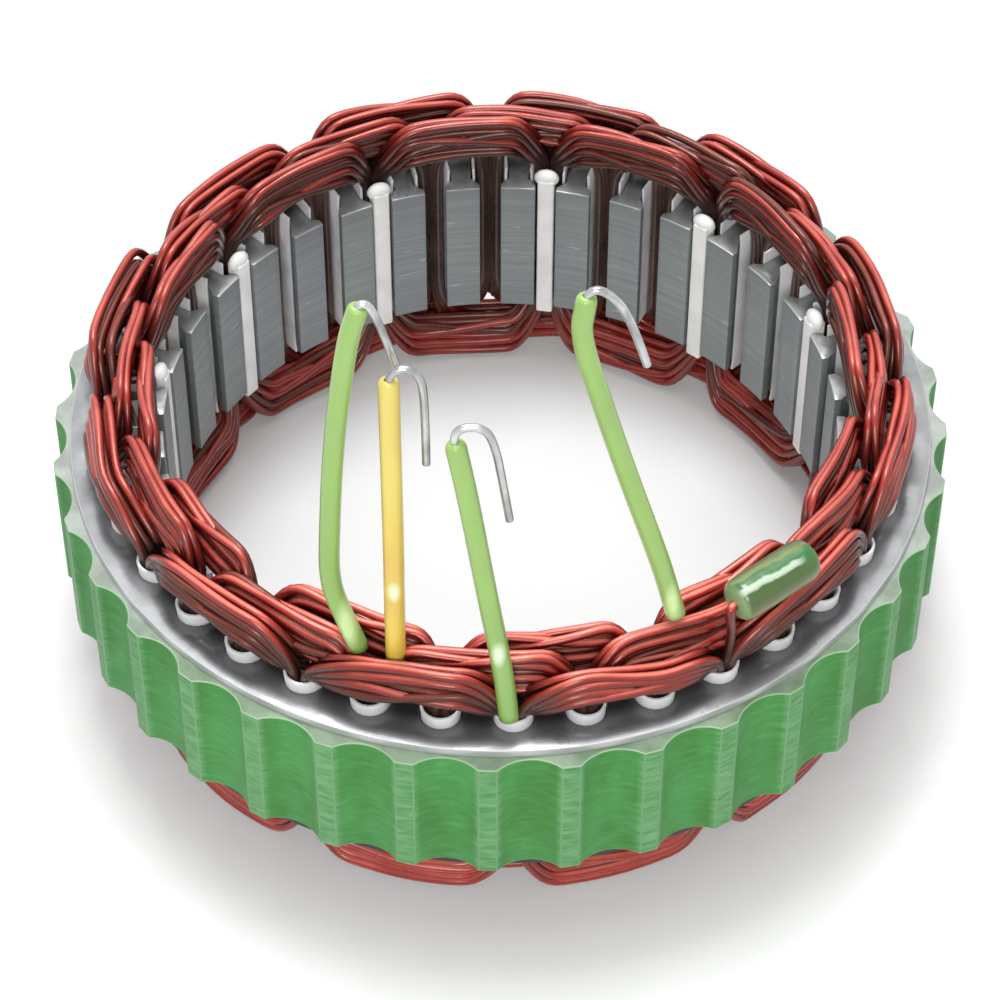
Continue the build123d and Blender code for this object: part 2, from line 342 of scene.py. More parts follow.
def makeToothSteel():
    finish, tree, shader = newFinish("toothSteel", seen(140, 144, 146), 0.45, metallic=0.3)
    sheets = objectNoise(tree, (14, 14, 2400), 3)
    patches = objectNoise(tree, (90, 90, 30), 2)
    specks = objectNoise(tree, (260, 260, 1900), 2)
    lines = seenRamp(tree, sheets, (0.3, (122, 126, 129)), (0.5, (138, 143, 145)), (0.72, (156, 160, 161)))
    tint = seenRamp(tree, patches, (0.4, (136, 140, 146)), (0.65, (140, 153, 142)))
    plain = mixColors(tree, 0.5, lines, tint)
    speckled = mixColors(tree, spread(tree, specks, 0.68, 0.78), plain, seen(180, 184, 184))
    tree.links.new(speckled, shader.inputs["Base Color"])
    addBump(tree, shader, sheets, 0.3)
    return finish


def makePaper(name, color, shade):
    finish, tree, shader = newFinish(name, seen(*color), 0.6)
    paper = seenRamp(tree, objectNoise(tree, 220, 3), (0.35, shade), (0.6, color))
    tree.links.new(paper, shader.inputs["Base Color"])
    addBump(tree, shader, objectNoise(tree, 800), 0.2)
    return finish


def makeSleeveFinish(name, setting, low, high):  # colours along the height, and a pale spot that is a painted highlight
    stops, spot = setting["stops"], setting["spot"]
    finish, tree, shader = newFinish(name, seen(*stops[0][1]), 0.34, coat=0.35)
    along = seenRamp(tree, spread(tree, placeAlong(tree, "Z"), low, high), *stops)
    cloud = addRamp(tree, objectNoise(tree, (300, 300, 120), 2), (0.3, (0.84, 0.84, 0.84)), (0.7, (1, 1, 1)))
    stained = mixColors(tree, 0.5, along, cloud, "MULTIPLY")
    fromSpot = vectorNode(tree, "SUBTRACT", coordinate(tree), leadPoint(*spot["at"]))
    shares = (1 / spot["wide"], lead["spotDepth"], 1 / spot["tall"])
    away = vectorNode(tree, "LENGTH", vectorNode(tree, "MULTIPLY", fromSpot, shares))
    start, end = lead["spotFade"]
    onSpot = spread(tree, away, start * mm, end * mm)
    tree.links.new(mixColors(tree, onSpot, stained, seen(*spot["color"])), shader.inputs["Base Color"])
    addBump(tree, shader, objectNoise(tree, 1200), 0.15)
    return finish


def makeTinned():
    finish, tree, shader = newFinish("tinned", seen(190, 192, 194), 0.28, metallic=0.9)
    grain = objectNoise(tree, (500, 500, 200), 2)
    tin = seenRamp(tree, grain, (0.3, (150, 152, 154)), (0.7, (214, 216, 218)))
    tree.links.new(tin, shader.inputs["Base Color"])
    return finish


def measured(tree, middle, along, reach):  # 0 to 1 from one side of a point to the other
    aside = vectorNode(tree, "SUBTRACT", coordinate(tree), middle)
    return spread(tree, vectorNode(tree, "DOT_PRODUCT", aside, along), -reach * mm, reach * mm)


def makeTubeFinish(middle, along):  # green with a long reflection that ends before the far end
    finish, tree, shader = newFinish("jointTube", seen(70, 130, 72), 0.3, coat=0.45)
    shader.inputs["Transmission Weight"].default_value = 0.1
    shader.inputs["IOR"].default_value = 1.42
    towardsCamera = Vector((0, -0.66, 0.75))
    upwards = towardsCamera.cross(along).normalized()
    around = measured(tree, middle, upwards + along * joint["streakSlant"], joint["radius"])
    wave = mathNode(tree, "MULTIPLY_ADD", objectNoise(tree, 380, 3), 0.14, around)
    across = seenRamp(tree, wave, (0.08, (118, 128, 76)), (0.16, (92, 106, 52)), (0.4, (80, 108, 52)),
                      (0.55, (66, 102, 50)), (0.6, (196, 214, 188)), (0.69, (206, 226, 202)),
                      (0.74, (58, 118, 66)), (0.85, (66, 120, 66)), (0.91, (138, 160, 98)),
                      (0.99, (114, 124, 78)))
    plain = seenRamp(tree, wave, (0.1, (118, 128, 76)), (0.3, (86, 108, 52)), (0.6, (62, 116, 58)),
                     (0.86, (58, 122, 62)), (0.94, (126, 142, 88)), (1.0, (106, 114, 72)))
    length = measured(tree, middle, along, joint["length"] / 2)
    streak = spread(tree, length, *joint["streakEnd"])
    pale = spread(tree, length, *joint["paleEnd"])
    streaked = mixColors(tree, streak, plain, across)
    tree.links.new(mixColors(tree, pale, streaked, seen(140, 168, 118)), shader.inputs["Base Color"])
    addBump(tree, shader, objectNoise(tree, 350), 0.4, 0.5)
    return finish


enamel, dullAndShadedEnamel = (makeEnamel(name) for name in enamels)
tinned = makeTinned()
print("finishes made")

# Camera, lights and floor
camera = {
    "place": (-0.01158, -0.35271, 0.40292),
    "right": (0.99951, -0.03141, 0.00125),
    "up": (0.02226, 0.73524, 0.67744),
    "lens": 125.42,
}
light = {
    "world": 0.4, "backdrop": 1.0,
    "lamps": {
        "sky": {"from": (0.0, 0.3, 1.0), "size": 0.9, "watts": 4.8},
        "key": {"from": (-0.05, 0.24, 0.95), "size": 0.3, "watts": 4.4},
        "front": {"from": (-0.1, -1.0, 0.7), "size": 0.5, "watts": 6.7},
    },
    "aim": (0, 0, 0.03),
}
floorLook = {"paint": (0.84, 0.84, 0.84), "glow": 0.09, "reach": 3}


def makeCamera():
    lensData = bpy.data.cameras.new("camera")
    lensData.lens = camera["lens"]
    lensData.sensor_width = 36
    lensData.clip_start, lensData.clip_end = 0.01, 20
    eye = bpy.data.objects.new("camera", lensData)
    scene.collection.objects.link(eye)
    right, up = Vector(camera["right"]).normalized(), Vector(camera["up"])
    back = right.cross(up).normalized()
    turn = Matrix((right, back.cross(right), back)).transposed().to_4x4()
    eye.matrix_world = Matrix.Translation(camera["place"]) @ turn
    scene.camera = eye


def makeLamps():
    for name, setting in light["lamps"].items():
        lampData = bpy.data.lights.new(name, "AREA")
        lampData.size = setting["size"]
        lampData.energy = setting["watts"]
        lamp = bpy.data.objects.new(name, lampData)
        scene.collection.objects.link(lamp)
        lamp.location = setting["from"]
        lamp.rotation_euler = (Vector(light["aim"]) - lamp.location).to_track_quat("-Z", "Y").to_euler()


def pictureRay(tree):  # 1 for what the camera, a gloss or a see-through wall shows
    ray = tree.nodes.new("ShaderNodeLightPath").outputs
    direct = mathNode(tree, "MAXIMUM", ray["Is Camera Ray"], ray["Is Glossy Ray"])
    return mathNode(tree, "MAXIMUM", direct, ray["Is Transmission Ray"])


def makeWorld():
    world = bpy.data.worlds.new("studio")
    scene.world = world
    world.use_nodes = True
    tree = world.node_tree
    tree.nodes.clear()
    both = tree.nodes.new("ShaderNodeMixShader")
    out = tree.nodes.new("ShaderNodeOutputWorld")
    tree.links.new(pictureRay(tree), both.inputs["Fac"])
    for number, strength in ((1, light["world"]), (2, light["backdrop"])):
        white = tree.nodes.new("ShaderNodeBackground")
        white.inputs["Color"].default_value = (1, 1, 1, 1)
        white.inputs["Strength"].default_value = strength
        tree.links.new(white.outputs[0], both.inputs[number])
    tree.links.new(both.outputs[0], out.inputs["Surface"])


def makeFloor():
    bm = bmesh.new()
    bmesh.ops.create_grid(bm, x_segments=1, y_segments=1, size=floorLook["reach"])
    mesh = meshFrom(bm, "floor")
    floor = bpy.data.objects.new("floor", mesh)
    scene.collection.objects.link(floor)
    finish, tree, shader = newFinish("floorPaint", floorLook["paint"], 0.9)
    shader.inputs["Specular IOR Level"].default_value = 0.1
    glow = tree.nodes.new("ShaderNodeEmission")
    both = tree.nodes.new("ShaderNodeAddShader")
    strength = mathNode(tree, "MULTIPLY", pictureRay(tree), floorLook["glow"])
    tree.links.new(strength, glow.inputs["Strength"])
    tree.links.new(shader.outputs[0], both.inputs[0])
    tree.links.new(glow.outputs[0], both.inputs[1])
    tree.links.new(both.outputs[0], tree.nodes["Material Output"].inputs["Surface"])
    mesh.materials.append(finish)


makeCamera()
makeLamps()
makeWorld()
makeFloor()
print("camera, lights and floor made")

# Laminated core: radii, heights and sizes in millimetres, angles in degrees
core = {
    "bore": 49.0, "slotBottom": 59.2, "register": 62.5, "rim": 65.0,
    "bottom": 13.0, "lowerLedge": 14.7, "upperLedge": 36.9, "top": 38.0,
    "slots": 36, "slotHalf": 3.0, "mouthHalf": 1.625, "tipEdge": 1.0, "toothAngles": (3.5, 5),
    "scallopDepth": 1.9, "lobeTip": 2.56, "lobeShift": 1.7,
    "edge": 0.16, "sharpAngle": 28, "slotStep": 18, "scallopSteps": 10, "circleSteps": 216,
    # how near to these a face counts as theirs, or how far off as another's
    "near": {"bore": 0.25, "register": 0.4, "ledge": 0.3, "top": 0.5, "wall": 0.05, "slots": 1},
}
coreFinishes = ("rim", "ledge", "ring", "teeth", "brightEdge", "lobeEdge", "ledgeEdge", "shadedRegisterWall")
coreHeight = core["top"] - core["bottom"]
coreMiddle = (core["top"] + core["bottom"]) / 2


def aroundAxis(bm, geometry, count):
    bmesh.ops.spin(bm, geom=geometry, cent=(0, 0, 0), axis=(0, 0, 1), angle=2 * pi * (count - 1) / count,
                   steps=count - 1, use_duplicate=True, use_merge=False)


def everything(bm):
    return bm.verts[:] + bm.edges[:] + bm.faces[:]


def chain(bm, points):  # a run of edges through points
    verts = [bm.verts.new(point) for point in points]
    edges = [bm.edges.new(pair) for pair in zip(verts, verts[1:])]
    return verts, edges


def patternedLoop(bm, points, count):  # one pitch of an outline, turned round the axis and closed
    before = set(bm.edges)
    verts, edges = chain(bm, points)
    aroundAxis(bm, verts + edges, count)
    fresh = [edge for edge in bm.edges if edge not in before]
    bmesh.ops.remove_doubles(bm, verts=list({v for edge in fresh for v in edge.verts}), dist=1e-6)
    return [edge for edge in bm.edges if edge not in before]


def halfRound(centre, half, step):  # from one side of a slot to the other, round its bottom
    return [(centre + half * cos(radians(turn)), half * sin(radians(turn))) for turn in range(-90, 91, step)]


def slotPitchOutline(height):
    bore, half, lip = core["bore"], core["slotHalf"], core["mouthHalf"]
    tip = bore + core["tipEdge"]
    lipAngle = degrees(asin(lip / bore))
    toothFlank, toothMiddle = core["toothAngles"]
    points = [onRing(angle, bore, height) for angle in (-toothMiddle, -toothFlank, -lipAngle)]
    local = [(tip, -lip), (tip + half - lip, -half)]
    local += halfRound(core["slotBottom"] - half, half, core["slotStep"])
    local += [(tip + half - lip, half), (tip, lip)]
    points += [Vector((x, y, height)) * mm for x, y in local]
    return points + [onRing(angle, bore, height) for angle in (lipAngle, toothFlank, toothMiddle)]


def rimPitchOutline(height):  # a scallop as an arc, then the tip of a lobe
    lobeHalf = degrees(asin(core["lobeTip"] / 2 / core["rim"]))
    pitchHalf = 180 / core["slots"]
    reach = radians(pitchHalf - lobeHalf)
    floorRadius = core["rim"] - core["scallopDepth"]
    chordHalf = core["rim"] * sin(reach)
    rise = core["rim"] * cos(reach) - floorRadius
    bend = (chordHalf**2 + rise**2) / (2 * rise)
    swing = asin(chordHalf / bend)
    turn = Matrix.Rotation(radians(core["lobeShift"]), 3, "Z")
    points = []
    for step in range(core["scallopSteps"] + 1):
        angle = swing * (2 * step / core["scallopSteps"] - 1)
        local = Vector((floorRadius + bend - bend * cos(angle), bend * sin(angle), height))
        points.append(turn @ local * mm)
    lobeStart = core["lobeShift"] + pitchHalf
    return points + [onRing(angle, core["rim"], height) for angle in (lobeStart, lobeStart + lobeHalf)]


def raiseLoop(bm, edges, rise):
    made = bmesh.ops.extrude_edge_only(bm, edges=edges)["geom"]
    verts = [v for v in made if isinstance(v, bmesh.types.BMVert)]
    bmesh.ops.translate(bm, vec=(0, 0, rise * mm), verts=verts)
    return [edge for edge in made if isinstance(edge, bmesh.types.BMEdge)]


def circleLoop(bm, radius, height):
    verts = bmesh.ops.create_circle(bm, segments=core["circleSteps"], radius=radius * mm)["verts"]
    bmesh.ops.translate(bm, vec=(0, 0, height * mm), verts=verts)
    return list({edge for v in verts for edge in v.link_edges})


def topOf(made):  # edges of the raised loop only
    height = max(v.co.z for edge in made for v in edge.verts)
    return [edge for edge in made if all(abs(v.co.z - height) < 1e-7 for v in edge.verts)]


def sharpEdges(bm, angle):
    return [edge for edge in bm.edges
            if len(edge.link_faces) == 2 and edge.calc_face_angle() > radians(angle)]


def roundEdges(bm, edges, size, segments=2):
    return bmesh.ops.bevel(bm, geom=edges, offset=size * mm, segments=segments, profile=0.5, affect="EDGES",
                           clamp_overlap=True, material=-1)["faces"]


def faceFinish(face):  # of the plain shape
    near = core["near"]
    middle = face.calc_center_median() / mm
    radius = middle.xy.length
    level = abs(face.normal.z) > 0.5
    if radius > core["register"] + near["wall"]:
        return "ledge" if level else "rim"
    if not level and radius > core["slotBottom"] + near["slots"]:
        # The lower register wall is painted in shadow, the upper one takes the bright edge finish
        return "brightEdge" if middle.z > coreMiddle else "shadedRegisterWall"
    return "ring" if level else "teeth"


# Painted highlights: the rounded edges get paler finishes than the faces beside them
def edgeFinish(face):  # of the rounded edges, where it differs from the faces beside them
    near = core["near"]
    middle = face.calc_center_median() / mm
    radius = middle.xy.length
    atTurnedEdge = radius > core["register"] - near["register"] or radius < core["bore"] + near["bore"]
    if radius > core["register"] + near["ledge"]:
        return "lobeEdge" if abs(face.normal.z) < 0.2 else "ledgeEdge"
    return "brightEdge" if middle.z > core["top"] - near["top"] and atTurnedEdge else None


def makeCore():
    bm = bmesh.new()
    slotsLow = patternedLoop(bm, slotPitchOutline(core["bottom"]), core["slots"])
    slotsHigh = topOf(raiseLoop(bm, slotsLow, coreHeight))
    ringLow = circleLoop(bm, core["register"], core["bottom"])
    ringLowTop = topOf(raiseLoop(bm, ringLow, core["lowerLedge"] - core["bottom"]))
    rimLow = patternedLoop(bm, rimPitchOutline(core["lowerLedge"]), core["slots"])
    rimHigh = topOf(raiseLoop(bm, rimLow, core["upperLedge"] - core["lowerLedge"]))
    ringHigh = circleLoop(bm, core["register"], core["upperLedge"])
    ringTop = topOf(raiseLoop(bm, ringHigh, core["top"] - core["upperLedge"]))
    levels = ((slotsLow, ringLow), (ringLowTop, rimLow), (rimHigh, ringHigh), (slotsHigh, ringTop))
    for inner, outer in levels:
        bmesh.ops.triangle_fill(bm, edges=inner + outer, use_beauty=True, use_dissolve=False,
                                normal=(0, 0, 1))
    bmesh.ops.recalc_face_normals(bm, faces=bm.faces)
    for face in bm.faces:
        face.material_index = coreFinishes.index(faceFinish(face))
    for face in roundEdges(bm, sharpEdges(bm, core["sharpAngle"]), core["edge"]):
        finish = edgeFinish(face)
        if finish:
            face.material_index = coreFinishes.index(finish)
    mesh = meshFrom(bm, "laminatedCore")
    smoothFaces(mesh)
    finishes = [makeRimLacquer(), makeLedgeLacquer(), makeRingSteel(), makeToothSteel()]
    # Paler copies of the steel and lacquer, painted highlights along the lobes, the ledges and the top's
    # turned edges; brightEdge also covers the upper register wall
    finishes.append(newFinish("brightEdge", seen(186, 187, 189), 0.35, metallic=0.35)[0])
    finishes.append(newFinish("lobeEdge", seen(104, 156, 104), 0.5)[0])
    finishes.append(newFinish("ledgeEdge", seen(150, 184, 144), 0.45)[0])
    # Dark steel: painted shadow on the lower register wall
    finishes.append(newFinish("shadedRegisterWall", seen(52, 52, 50), 0.6)[0])
    addPiece("laminatedCore", mesh, finishes, "core", "laminated_core")


makeCore()
print("core made")

# Slot liners and wedges, each drawn in the slot on the X axis and turned round the axis
liner = {
    "half": 2.72, "mouth": 51.45, "wall": 0.42, "bottom": 59.12, "low": 11.1,
    "flare": 0.14, "flareFrom": 1.0, "flareBack": 1.0, "cuffLoop": 0.7,
    "lip": 0.14, "lipAngle": 50, "step": 15,
    "color": (240, 240, 240), "shade": (218, 219, 220),
}
wedge = {
    "inner": 49.25, "outer": 51.7, "half": 1.3, "low": 11.4, "high": 39.3, "round": 0.35, "angle": 20,
    "knob": (1.15, 1.95, 1.5), "knobAt": (50.5, 0, 39.2),
    "color": (252, 252, 250), "shade": (240, 240, 237),
}


def makeLiners():
    bm = bmesh.new()
    half, bend = liner["half"], liner["bottom"] - liner["half"]
    line = [(liner["mouth"], -half), *halfRound(bend, half, liner["step"]), (liner["mouth"], half)]
    edges = chain(bm, [Vector((x, y, liner["low"])) * mm for x, y in line])[1]
    cuff = core["bottom"] - liner["low"]
    cuffRise = cuff * liner["cuffLoop"]
    for rise in (cuffRise, coreHeight + 2 * (cuff - cuffRise), cuffRise):
        edges = topOf(raiseLoop(bm, edges, rise))
    flareCentre = Vector((bend - liner["flareBack"], 0)) * mm
    for vert in bm.verts:
        outside = max(abs(vert.co.z / mm - coreMiddle) - coreHeight / 2 - liner["flareFrom"], 0)
        aside = vert.co.xy - flareCentre
        if outside:
            vert.co.xy += aside.normalized() * liner["flare"] * mm * outside
    bmesh.ops.recalc_face_normals(bm, faces=bm.faces)
    bmesh.ops.solidify(bm, geom=bm.faces, thickness=liner["wall"] * mm)
    roundEdges(bm, sharpEdges(bm, liner["lipAngle"]), liner["lip"])
    aroundAxis(bm, everything(bm), core["slots"])
    bmesh.ops.recalc_face_normals(bm, faces=bm.faces)
    mesh = meshFrom(bm, "slotLiners")
    smoothFaces(mesh)
    nodes = [f"slot_liner_{number:02d}" for number in range(1, core["slots"] + 1)]
    paper = makePaper("linerPaper", liner["color"], liner["shade"])
    addPiece("slotLiners", mesh, [paper], "liner", *nodes)


def makeWedges():
    bm = bmesh.new()
    size = (wedge["outer"] - wedge["inner"], 2 * wedge["half"], wedge["high"] - wedge["low"])
    middle = Vector((wedge["outer"] + wedge["inner"], 0, wedge["high"] + wedge["low"])) / 2 * mm
    bmesh.ops.create_cube(bm, size=mm, matrix=Matrix.Translation(middle) @ Matrix.Diagonal((*size, 1)))
    roundEdges(bm, bm.edges[:], wedge["round"], segments=3)
    place = Matrix.Translation(Vector(wedge["knobAt"]) * mm)
    bmesh.ops.create_uvsphere(bm, u_segments=20, v_segments=12, radius=mm,
                              matrix=place @ Matrix.Diagonal((*wedge["knob"], 1)))
    bmesh.ops.transform(bm, matrix=Matrix.Rotation(radians(wedge["angle"]), 4, "Z"), verts=bm.verts)
    aroundAxis(bm, everything(bm), core["slots"] // 3)
    bmesh.ops.recalc_face_normals(bm, faces=bm.faces)
    mesh = meshFrom(bm, "slotWedges")
    smoothFaces(mesh)
    white = makePaper("wedgeWhite", wedge["color"], wedge["shade"])
    addPiece("slotWedges", mesh, [white], "wedge", "slot_wedges")


makeLiners()
makeWedges()
print("liners and wedges made")

# Windings: every bundle is made of single wires, each a smooth curve from slot to slot.
# Radii and heights are millimetres, heights off the core's face, angles degrees from the coil's slot.
winding = {
    "wire": 0.66, "sides": 2, "steps": 3,
    "outerRows": 4, "innerRows": 4, "innerReach": 0.88, "fillers": (-0.85, -0.42, 0, 0.42),
    "exits": {"outer": (56.4, 0.45), "inner": (54.9, -0.5), "filler": 55.9},  # radii, and the step of a row
    "exitHeights": (-12.5, -3.0, 1.6), "aside": 1.5, "fillerAside": 1.0,
    "neckAngle": 2.3, "neckHeight": 3.7, "neckSpread": 1.2019,
    "neckTurn": 0.2, "neckReach": 0.55,  # shares of the shoulder's turn, and of the way to the crest
    "shoulder": 5.2, "shoulderSpread": 0.6, "runStart": 8.0,
    "wander": 0.34, "shoulderWander": 0.5, "arch": 0.35, "crossLift": 0.5, "lean": 0.3, "innerBulge": -0.4,
    "drop": (-0.6, 1.0),
    "slotWires": (-1.2, -0.4, 0.4, 1.2), "slotRadius": 56.2, "slotTurn": 0.7,
    "slotEnds": (-3.6, 6.0, -6.0, 3.8),  # two off the lower face, two off the upper one
    "seed": 11,
}
# How often each row of a bundle is dull, usually and in the coils that the photograph shows brown outside
# Dull wires are partly a darker enamel and partly painted shade: the fillers between the rows are always
# dull, as are the wires in the slots
dullAndShadedRows = {
    "plain": (0.1, 0.05, 0.05, 0.05, 0.9, 0.7, 0.4, 0.1, 1, 1, 1, 1),
    "brownOutside": (1, 1, 0.6, 0.05, 0.9, 0.7, 0.4, 0.1, 1, 1, 1, 1),
}
# In these coils even the outer rows are mostly dull
brownOutsideCoils = ("a7", "a10")
lowerShare = 0.5  # of that in the lower end turns
# Radii of each phase's band beside the core and away from it, its heights, how much its lower edge
# sinks with its crest, and how much nearer to the core the lower end turns end
bands = {
    "a": {"near": (57.4, 60.2), "far": (56.0, 58.6), "heights": (3.9, 11.0), "sag": 0.3, "under": -0.7},
    "b": {"near": (53.6, 56.1), "far": (52.6, 54.7), "heights": (5.2, 12.3), "sag": 0.9, "under": 0.5},
    "c": {"near": (49.8, 52.6), "far": (49.8, 51.6), "heights": (5.0, 13.0), "sag": 1.2, "under": 0.8},
}
firstSlots = {"a": 0, "b": 10, "c": 20}
coilSpan = 30
# Upper coils as the photograph shows them. Each has values for its start and its end: crest sunk,
# shoulder away from the slot, lower edge raised; then how far it bulges outwards
habits = {
    "a": {
        0: (-0.5, -0.5, 0, 0), 1: (-1.0, -1.5, 0, 0), 2: (-0.6, -1.0, 0, -1.2), 3: (-1.3, -1.3, -0.6, -0.8),
        4: (-1.0, -0.4, 0, 0), 5: (-1.0, -1.2, 0, 0, 0, 0, 0.9), 6: (-0.8, 1.0, 0, 3.0, 0, 2.2, 0.5),
        7: (1.4, 0.4, 1.8, 0.5, 1.7, 1.5), 8: (1.2, 0.3, 4.0, 0.8, 0.2, 1.3),
        9: (1.7, 3.4, 2.2, 1.4, 1.3, 0.9), 10: (2.0, 0.4, 1.8, 0, 1.5, 1.0), 11: (0, -0.6, 0.6, 0, 1.0, 0.6),
    },
    "b": {7: (1.8, 2.2, 0, 0), 8: (2.0, 1.6, 0, 0), 9: (1.7, 2.2, 0, 0.6)},
    "c": {6: (1.0, 1.0, 0, 0), 7: (1.2, 2.2, 0, -1.6), 8: (2.4, 2.0, 0, 0), 9: (1.6, 0.8, 0, 0)},
}


def wireRows():  # layer 1 is outside, 0 the filling; row -1 the lowest; then the place in the slot
    rows = []
    exits = winding["exits"]
    radius, step = exits["outer"]
    for index in range(winding["outerRows"]):
        share = index / (winding["outerRows"] - 1)
        rows.append((1, share * 2 - 1, radius + step * index, winding["aside"] - share))
    radius, step = exits["inner"]
    for index in range(winding["innerRows"]):
        share = index / (winding["innerRows"] - 1)
        row = (share * 2 - 1) * winding["innerReach"]
        shuffled = index * 3 % winding["innerRows"]
        rows.append((-1, row, radius + step * shuffled, winding["aside"] - share))
    aside = winding["fillerAside"]
    return rows + [(0, row, exits["filler"], aside * (1 - row / 2)) for row in winding["fillers"]]


def halfBundle(band, layer, row, exitRadius, exitAside, drop, turn, lifted, bulge):  # slot to crest
    low, high = band["heights"]
    low += lifted
    wire = winding["wire"]
    half = (high - low - drop * (1 - band["sag"])) / 2 - wire
    rise = (low + high - drop * (1 + band["sag"])) / 2 + half * row
    lift = (rise - low) / (high - low)
    inner = band["near"][0] + (band["far"][0] - band["near"][0]) * lift + wire
    outer = band["near"][1] + (band["far"][1] - band["near"][1]) * lift - wire
    crest = {
        1: outer + bulge,
        0: (inner + outer + bulge) / 2,
        -1: inner + bulge * winding["innerBulge"],
    }[layer]
    neckAside = winding["neckSpread"] * row
    neckRadius = exitRadius * (1 - winding["neckReach"]) + crest * winding["neckReach"]
    neckAngle = winding["neckAngle"] - degrees(neckAside / neckRadius) + turn * winding["neckTurn"]
    shoulder = winding["shoulder"] - winding["shoulderSpread"] * row + turn
    stations = [(degrees(exitAside / exitRadius), exitRadius, height) for height in winding["exitHeights"]]
    stations.append((neckAngle, neckRadius, winding["neckHeight"] + neckAside))
    stations.append((shoulder, crest, rise))
    return crest, rise, stations


def wireStations(band, firstEnd, lastEnd, crossing, habit, dice):
    def stray(reach=winding["wander"]):
        return dice.uniform(-1, 1) * reach
    sunk, lastSunk, turn, lastTurn, lifted, lastLifted, bulge = habit
    turned = turn + stray(winding["shoulderWander"])
    crest, height, first = halfBundle(band, *firstEnd, sunk, turned, lifted, bulge)
    turned = lastTurn + stray(winding["shoulderWander"])
    lastCrest, lastHeight, last = halfBundle(band, *lastEnd, lastSunk, turned, lastLifted, bulge)
    outwards = crossing * firstEnd[0] * winding["crossLift"]
    start, lean = winding["runStart"], winding["lean"]
    halfwayCrest, halfwayHeight = (crest + lastCrest) / 2, (height + lastHeight) / 2
    middle = [
        (start + turn, crest - lean + stray(), height + stray()),
        (coilSpan / 2, halfwayCrest + outwards, halfwayHeight + winding["arch"] + stray()),
        (coilSpan - start - lastTurn, lastCrest + lean + stray(), lastHeight + stray()),
    ]
    return first + middle + [(coilSpan - angle, radius, rise) for angle, radius, rise in last[::-1]]


def bundleWires(band, habit, dice):  # a wire often changes places with its neighbour on the way
    rows = wireRows()
    lastRows = list(rows)
    crossing = [0] * len(rows)
    outer, inner = winding["outerRows"], winding["innerRows"]
    for start in (dice.randrange(outer - 1), outer + dice.randrange(inner - 1)):
        lastRows[start], lastRows[start + 1] = lastRows[start + 1], lastRows[start]
        crossing[start] = 1
    return [wireStations(band, *wire, habit, dice) for wire in zip(rows, lastRows, crossing)]


def addBundle(lines, phase, coil, side, dice):
    band = bands[phase]
    start = firstSlots[phase] + coil * coilSpan
    habit = (dice.uniform(*winding["drop"]), dice.uniform(*winding["drop"]), 0, 0)
    if side > 0:
        habit = habits[phase].get(coil, habit)
    else:
        habit = (habit[0] + band["under"], habit[1] + band["under"], 0, 0)
    habit = (*habit, 0, 0, 0)[:7]
    face = core["top"] if side > 0 else core["bottom"]
    chances = dullAndShadedRows["brownOutside" if side > 0 and f"{phase}{coil}" in brownOutsideCoils else "plain"]
    for chance, stations in zip(chances, bundleWires(band, habit, dice)):
        points = [onRing(start + angle, radius, face + side * height) for angle, radius, height in stations]
        dull = dice.random() < chance * (1 if side > 0 else lowerShare)
        addRun(lines, points, 4, finish=int(dull))


def addSlotWires(lines, angle):  # in the middle of the slot, seen through its mouth
    faces = (core["bottom"], core["bottom"], core["top"], core["top"])
    for aside in winding["slotWires"]:
        place = angle + aside * winding["slotTurn"]
        points = [onRing(place, winding["slotRadius"] + aside, face + off)
                  for face, off in zip(faces, winding["slotEnds"])]
        # the dark enamel here is painted shade inside the slot
        addRun(lines, points, 4, finish=1)


def makeWinding(phase):
    dice = random.Random(winding["seed"] + firstSlots[phase])
    lines = newLine(f"windingPhase{phase.upper()}", winding["wire"], winding["sides"], winding["steps"])
    for finish in (enamel, dullAndShadedEnamel):
        lines.materials.append(finish)
    for coil in range(core["slots"] // 3):
        for side in (1, -1):
            addBundle(lines, phase, coil, side, dice)
        addSlotWires(lines, firstSlots[phase] + coil * coilSpan)
    mesh = meshOf(lines)
    addPiece(mesh.name, mesh, [], "enamelled_wire", f"winding_phase_{phase}")


for phase in bands:
    makeWinding(phase)
print("windings made")

# Leads and the insulated joint; points are millimetres, heights over the core's upper face
lead = {
    "sleeve": 1.4, "wall": 0.4, "wire": 0.56, "foot": 0.3, "steps": 10, "sides": 4,
    "tip": ((0.9, 1), (1.5, 0.9), (1.75, 0.62), (1.8, 0.46)),  # reach past the end, share of the radius
    "spotDepth": 0.3, "spotFade": (1.35, 0.45),
}
